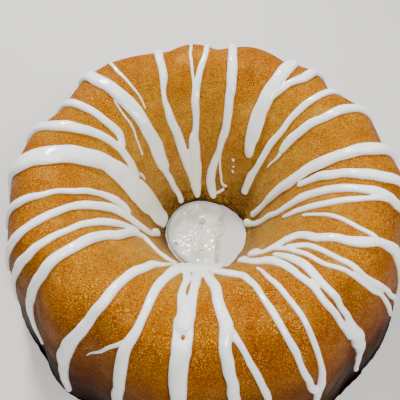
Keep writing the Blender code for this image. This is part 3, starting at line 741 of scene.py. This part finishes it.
# The same icing on the near half, poured closer together: some runs fork, some run side by side
# with a slit of crust between, and at the funnel they hang together in a sheet.
NEAR_STRIPES = (
    ((46, 150, 6.4), (53, 150.5, 6.8), (57, 149.8, 4.2), (60, 148.3, 3.8), (62.5, 144, 5), (66, 137, 5.6),
     (70, 133.8, 5), (76, 133.2, 4.6), (82, 133, 4.5), (95, 130.2, 4.7), (106, 125, 4.5),
     (117, 122.4, 5.8), (121, 122.4, 6), (152, 121.4, 4)),
    ((70, 142.3, 3), (74, 140.6, 3.3), (81, 138, 3), (88, 137.5, 3), (96, 137.3, 3), (101, 136.8, 2.9),
     (106, 135.9, 2.9), (115, 134.2, 2.7), (126, 131.3, 2.7), (140, 128, 3), (160, 123, 3.4)),
    ((62, 144.5, 3), (68, 143.5, 3.4), (74, 142.8, 2.8), (86, 142.6, 2.4), (92, 142, 2.4), (96, 141, 2.4),
     (100, 139.7, 2.4), (106, 138.1, 2.4), (112, 136.7, 2.4), (120, 135, 2.4), (130, 132.5, 2.5),
     (141, 130.5, 3), (160, 127.5, 3.4)),
    ((51, 160.3, 6), (57, 160.3, 6), (60, 159.5, 4.4), (66, 157, 4.2), (70, 154.2, 4.6), (74, 152, 4.8),
     (82, 150.8, 4.1), (91, 150.6, 3.5), (99, 150, 3.5), (105, 149.5, 3.4), (112, 148.6, 3.4),
     (118, 147.7, 3.4), (124, 146.8, 3.8), (135, 145, 4)),
    ((68, 147.8, 2.6), (76, 147.2, 3.6), (82, 146.5, 4.6), (86, 146.2, 4.6), (92, 146.6, 4.2),
     (98, 146.6, 3.7), (104, 146.5, 3.4), (112, 145.8, 3.2), (118, 145, 3.4), (124, 144.8, 5),
     (132, 143.8, 7), (140, 142.7, 7.8), (148, 141.7, 6), (158, 141.2, 4.3), (181, 141, 3.4)),
    ((72, 159.5, 1.8), (83, 159, 2.3), (90, 158.1, 2.6), (102, 157.5, 2.7), (109, 157, 2.6),
     (116, 156.6, 2.7), (132, 156, 2.9), (140, 155.6, 4), (148, 155.7, 4.4), (154, 156.6, 4.2),
     (178, 157, 3.5)),
    ((62, 177, 4.4), (66, 175.8, 5), (71, 172, 4.6), (76, 166.3, 4.2), (84, 165.2, 3.3), (90, 165, 3.2),
     (98, 164, 3.2), (108, 163, 3.2), (118, 161.6, 3.2), (130, 160, 3.3), (140, 158.9, 3.5),
     (152, 157.2, 3.6)),
    ((99, 176.3, 3), (104, 175, 3), (109, 174, 3), (116, 172.5, 3.1), (124, 171, 3.2), (135, 169.5, 3.4),
     (143, 168.5, 3.3), (165, 168, 3)),
    ((8, 180, 5), (60, 181.5, 5.6), (68, 181, 4.8), (76, 180, 4.7), (85, 178.6, 4.7), (94, 177.5, 4.9),
     (101, 176.8, 6), (106, 177.4, 4.6), (111, 177.6, 4.6), (120, 177, 5), (131, 176.2, 5.5),
     (172, 175.5, 4.8)),
    ((8, -169.5, 5), (58, -168.8, 6), (66, -169, 4.4), (76, -169.9, 3.4), (84, -169.8, 3.4),
     (89, -170.4, 4), (94, -171, 4.4), (103, -171, 5)),
    ((8, -174, 5), (58, -174.6, 6), (66, -174.6, 4.4), (76, -174.3, 3.8), (84, -173.9, 3.8),
     (89, -173.3, 4.4), (94, -173, 5), (103, -172.6, 5)),
    ((6, -176, 13), (38, -176.5, 18), (56, -176, 21), (62, -175.5, 18), (67, -175.5, 10)),
    ((90, -172.3, 5), (96, -172.3, 7.3), (104, -172.1, 7.6)),
    ((105.9, -172.1, 7.6), (111, -171.6, 7.4), (118, -171.5, 7.2), (129, -171.5, 7.8), (176, -171, 6)),
    ((97, -170.5, 3.4), (105, -170.4, 3.4), (112, -170.4, 3.4)),
    ((97, -173.9, 3.4), (105, -173.5, 3.4), (112, -173, 3.4)),
    ((30, -168, 4), (56, -167.5, 5.6), (62, -165.6, 6), (69, -163.8, 6.2), (79, -161.6, 4.6),
     (88, -161, 3.9), (98, -161, 4.1), (105, -160.4, 4), (112, -159, 4.7), (117, -158.4, 5.4),
     (128, -158, 6), (144, -157, 6), (173, -156, 5)),
    ((54, -164, 2.6), (60, -159, 2.8), (65, -155.5, 3.2), (69, -152.7, 5), (76, -151.8, 4.6),
     (84, -150.1, 4.7), (92, -149.1, 4.6), (101, -148.8, 4.6), (110, -147.1, 5), (120, -145.4, 5.8),
     (130, -143.3, 6.8), (141, -142, 6.8), (157, -141, 5.4), (172, -141, 4.8), (184, -140.5, 4)),
    ((52, -160, 3.6), (48, -151, 3.8), (42, -141, 3.9), (40, -133, 4), (42, -124, 4.4), (50, -123, 4.6),
     (56, -124.5, 4.8), (68, -126.5, 5.6), (78, -127.5, 5.9), (93, -128, 5.6), (108, -128, 5.4),
     (117, -127.5, 5.8), (128, -126.5, 5.4), (141, -125.5, 4.6), (152, -125.5, 4), (165, -126.5, 3.2),
     (174, -128.5, 2.7)),
    ((44, -120, 4.5), (52, -118.5, 5), (58, -117.6, 5), (72, -118, 4.6), (80, -119, 3.9), (88, -120, 3.4),
     (94, -120.5, 3.4), (102, -121, 3.8), (110, -120.6, 4.4), (119, -120, 4.8), (130, -118.6, 4),
     (145, -117, 3.3), (165, -115.6, 2.8)),
    ((14, -103, 6), (18, -106, 5), (24, -111, 4.4), (30, -113.5, 4.4), (37, -112.5, 5), (45, -109, 5.4),
     (54, -107.3, 5.6), (60, -106.2, 5.4), (68, -107, 5), (77, -108.5, 4.6), (84, -109.8, 4.3),
     (91, -111.4, 4), (98, -112.5, 4), (105, -113.4, 4.3), (111, -113.5, 4.6), (118, -113, 4.8),
     (130, -112, 4.4), (147, -111, 4)),
    ((45, -104, 4), (50, -100, 5), (57, -98.4, 5.3), (67, -98.4, 3.8), (79, -100.7, 3.3),
     (88, -101.7, 3.2), (97, -103.1, 3.7), (108, -102.7, 4.8), (123, -101, 4.4), (137, -101.3, 3.5)),
)
icing_near = stripe_piece("icing_near", NEAR_STRIPES, 23)

# Thin threads and drops of the same icing, where the spoon ran nearly dry or flicked: too fine
# to run together with the stripes, they dry as low beads.
THREADS = (
    ((76, -2.8, 2.4), (84, -3, 1.8), (94, -3, 1.8), (112, -2.5, 2)),
    ((39, 17, 2), (30, 18, 1.6), (24, 18.5, 1.5), (16, 22, 1.6), (13, 26, 2.2), (14, 31, 2)),
    ((7, 18, 2.6), (9, 23, 2.4), (12, 28, 2.2)),
    ((65, 119.6, 1.5), (76, 120.4, 2), (86, 121.8, 2.3), (96, 123.5, 2.2), (106, 124.6, 2.4)),
    ((111, -158.5, 2.4), (116, -155.7, 1.8), (120, -153.5, 1.6), (126, -151, 1.4), (135, -147.5, 0.6)),
    ((72, -33.2, 1.0), (79, -33.2, 1.3), (90, -34.2, 1.6), (99, -34.5, 2.2), (116, -34.4, 2.6),
     (134, -33.4, 2)),
    ((50, -51.9, 1.3), (57, -48.9, 1.3), (65, -46.8, 1.3), (76, -46.2, 1.3), (86, -45.3, 1.4)),
    ((43, 63.4, 0.8), (50, 65.3, 1.4), (57, 65.4, 3)),
    ((38, -63, 1.4), (44, -62, 1.7)),
    ((33, 31, 1.6), (35, 31, 1.8)),
    ((29, 32, 1.2), (30, 33, 1.2)),
    ((25, 33, 1.4), (27, 33, 1.6)),
)
thread_mesh = lay_stripes(THREADS, 37)
mark_thickness(thread_mesh)
icing_threads = new_piece("icing_threads", thread_mesh)
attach(icing_threads, "root")
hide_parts("cake")
bpy.data.objects.remove(bead_object)

# The icing that ran down through the hole and set on the surface below: a low pool with a full
# rounded rim, blown with bubbles and pocked where some burst. On one side it stopped short.
POOL_RADIUS = 0.0255
POOL_HEIGHT = 0.0030
POOL_RINGS = 130
POOL_STEPS = 420
# rings lie closer together towards the rim, which is this wide and this full, and tucked in below
RING_CROWDING = 0.85
RIM_WIDTH = 0.0030
RIM_FULLNESS = 2.2
RIM_EDGE = 0.12
RIM_TUCK = 0.985
# where the pool stopped short: the azimuth, how far out, how uneven, and how far in it thins
BARE_AZIMUTH = 103.0
BARE_DISTANCE = 0.0110
BARE_SLOPE = 0.0012
BARE_RIPPLE = 0.0004
BARE_THIN = 0.0075
# bubbles: how many, the azimuth they crowd towards, how much they scatter, and their roundness
BUBBLES = 170
BUBBLE_SIDE = 215.0
BUBBLE_SCATTER = 1.1
BUBBLE_CURVE = 0.0060
BUBBLE_SIZES = (0.0008, 0.0021)
HIGHEST_BUBBLE = 1.12
# burst bubbles: place and radius
BURST = ((-0.0023, 0.0057, 0.0022), (-0.0200, -0.0096, 0.0014), (-0.0175, -0.0015, 0.0009),
         (0.0005, -0.0040, 0.0007), (-0.0105, -0.0080, 0.0010))


def pool_reach(turn):
    """How far the pool spreads in each direction."""
    azimuth = np.degrees(turn)
    walled = POOL_RADIUS - hole_bulge(azimuth) - HOLLOW_FOOT * wall_hollow(azimuth)
    facing = np.cos(turn - math.radians(BARE_AZIMUTH))
    ripple = BARE_SLOPE * np.sin(5 * turn) + BARE_RIPPLE * np.sin(17 * turn + 1.0)
    chord = (BARE_DISTANCE + ripple * np.maximum(facing, 0.0)) / np.maximum(facing, 0.05)
    return np.where(facing > 0.05, np.minimum(walled, chord), walled)


def pool_mesh(seed):
    """The pool's top over rings and spokes, raised into bubbles and sunk into pocks, on a flat foot."""
    random = np.random.default_rng(seed)
    turn = np.arange(POOL_STEPS) * math.tau / POOL_STEPS
    reach = soften(np.tile(pool_reach(turn), 3), 4)[POOL_STEPS:2 * POOL_STEPS]
    share = np.linspace(0.0, 1.0, POOL_RINGS + 1)[1:] ** RING_CROWDING
    x = share[:, None] * (reach * np.sin(turn))
    y = share[:, None] * (reach * np.cos(turn))
    swell = 0.78 + 0.20 * np.exp(-((x - 0.003) ** 2 + (y - 0.010) ** 2) / 0.010 ** 2)
    swell += 0.05 * np.sin(330 * x + 1.0) * np.sin(270 * y)
    edge = share[:, None] * reach - reach
    rim = np.sqrt(1.0 - np.clip(edge / RIM_WIDTH + 1.0, 0.0, 1.0) ** RIM_FULLNESS)
    bare = smooth_step(np.cos(turn - math.radians(BARE_AZIMUTH)), 0.2, 0.6)
    thinning = 1.0 - 0.75 * bare * smooth_step(edge, -BARE_THIN, -0.0005)
    z = POOL_HEIGHT * swell * thinning * (RIM_EDGE + (1.0 - RIM_EDGE) * rim)
    angle = math.radians(BUBBLE_SIDE) + random.normal(0.0, BUBBLE_SCATTER, BUBBLES)
    far = random.uniform(0.05, 0.92, BUBBLES) ** 0.7 * pool_reach(angle)
    size = random.uniform(*BUBBLE_SIZES, BUBBLES)
    for a, r, s in zip(angle, far, size):
        gap = (x - r * math.sin(a)) ** 2 + (y - r * math.cos(a)) ** 2
        z += np.clip(s ** 2 - gap, 0.0, None) / (2.0 * BUBBLE_CURVE)
    for bx, by, s in BURST:
        gap = np.hypot(x - bx, y - by) / s
        z += s * (0.35 * np.exp(-((gap - 1.1) / 0.3) ** 2) - 0.75 * np.exp(-gap ** 4))
    z = np.clip(z, 0.0002, POOL_HEIGHT * HIGHEST_BUBBLE)
    points = [(0.0, 0.0, float(z[0].mean()))] + np.stack([x, y, z], axis=-1).reshape(-1, 3).tolist()
    points += np.stack([x[-1] * RIM_TUCK, y[-1] * RIM_TUCK, 0 * turn], axis=-1).tolist()
    faces = [(0, 1 + (i + 1) % POOL_STEPS, 1 + i) for i in range(POOL_STEPS)]
    for ring in range(POOL_RINGS):
        first = 1 + ring * POOL_STEPS
        for i in range(POOL_STEPS):
            j = (i + 1) % POOL_STEPS
            faces.append((first + i, first + j, first + POOL_STEPS + j, first + POOL_STEPS + i))
    last = 1 + POOL_RINGS * POOL_STEPS
    faces.append(tuple(range(last + POOL_STEPS - 1, last - 1, -1)))
    mesh = bpy.data.meshes.new("icing_pool_set")
    mesh.from_pydata(points, [], faces)
    form = bmesh.new()
    form.from_mesh(mesh)
    bmesh.ops.recalc_face_normals(form, faces=form.faces)
    form.to_mesh(mesh)
    form.free()
    mesh.shade_smooth()
    return mesh


def pool_material():
    """Set icing, wet and a little glassy, stained brown round the two largest burst bubbles."""
    material, tree, shader, place = shader_base("set_icing")
    tone = ramp(tree, noise(tree, place, 140.0, 3.0), (
        (0.35, (0.57, 0.57, 0.47)),
        (0.65, (0.72, 0.72, 0.63)),
    ))
    for bx, by, size in BURST[:2]:
        spot = (bx, by, 0.5 * POOL_HEIGHT)
        gap = node(tree, "ShaderNodeVectorMath", {0: place, 1: spot}, operation="DISTANCE").outputs[1]
        ragged = calc(tree, "MULTIPLY_ADD", noise(tree, place, 700.0, 4.0, 0.7), 0.0040, gap)
        stain = stretch(tree, ragged, size + 0.0003, size + 0.0020, 1.0, 0.0)
        tone = blend(tree, "MIX", stain, tone, (0.24, 0.11, 0.04, 1.0))
    tree.links.new(tone, shader.inputs["Base Color"])
    shader.inputs["Roughness"].default_value = 0.05
    shader.inputs["Coat Weight"].default_value = 1.0
    shader.inputs["Coat Roughness"].default_value = 0.03
    shader.inputs["Subsurface Weight"].default_value = 0.25
    shader.inputs["Subsurface Radius"].default_value = (0.0020, 0.0017, 0.0012)
    shader.inputs["Subsurface Scale"].default_value = 1.0
    return material


icing_set = new_piece("icing_set", pool_mesh(51))
icing_set.data.materials.append(pool_material())
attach(icing_set, "root")
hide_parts("icing_pool")

# The table top under it: plain and pale, out to well past the picture.
FLOOR_HALF = 2.0
floor_mesh = bpy.data.meshes.new("floor")
floor_mesh.from_pydata([(-FLOOR_HALF, -FLOOR_HALF, 0.0), (FLOOR_HALF, -FLOOR_HALF, 0.0),
                        (FLOOR_HALF, FLOOR_HALF, 0.0), (-FLOOR_HALF, FLOOR_HALF, 0.0)], [], [(0, 1, 2, 3)])
floor_material, floor_tree, floor_shader, floor_place = shader_base("pale_floor")
floor_shader.inputs["Base Color"].default_value = (0.62, 0.60, 0.57, 1.0)
floor_shader.inputs["Roughness"].default_value = 0.8
floor_mesh.materials.append(floor_material)
floor = new_piece("floor", floor_mesh)

# The light: a lamp beyond the cake and one from over the viewer's head, both high and fairly
# small so that wet icing glints, a wide weak one overhead, and a dim pale room.
LAMPS = (
    ("lamp_beyond", (-0.14, 0.56, 0.68), 0.14, 11.4),
    ("lamp_viewer", (0.30, -0.46, 0.60), 0.16, 4.2),
    ("lamp_over", (0.06, -0.06, 0.80), 0.50, 4.6),
)
for name, place, size, power in LAMPS:
    lamp_data = bpy.data.lights.new(name, "AREA")
    lamp_data.shape = "DISK"
    lamp_data.size = size
    lamp_data.energy = power
    lamp = bpy.data.objects.new(name, lamp_data)
    lamp.location = place
    lamp.rotation_mode = "QUATERNION"
    lamp.rotation_quaternion = (-Vector(place)).to_track_quat("-Z", "Y")
    bpy.context.scene.collection.objects.link(lamp)
world = bpy.data.worlds.new("pale_room")
world.use_nodes = True
world.node_tree.nodes["Background"].inputs["Color"].default_value = (1.0, 0.98, 0.95, 1.0)
world.node_tree.nodes["Background"].inputs["Strength"].default_value = 0.10
bpy.context.scene.world = world
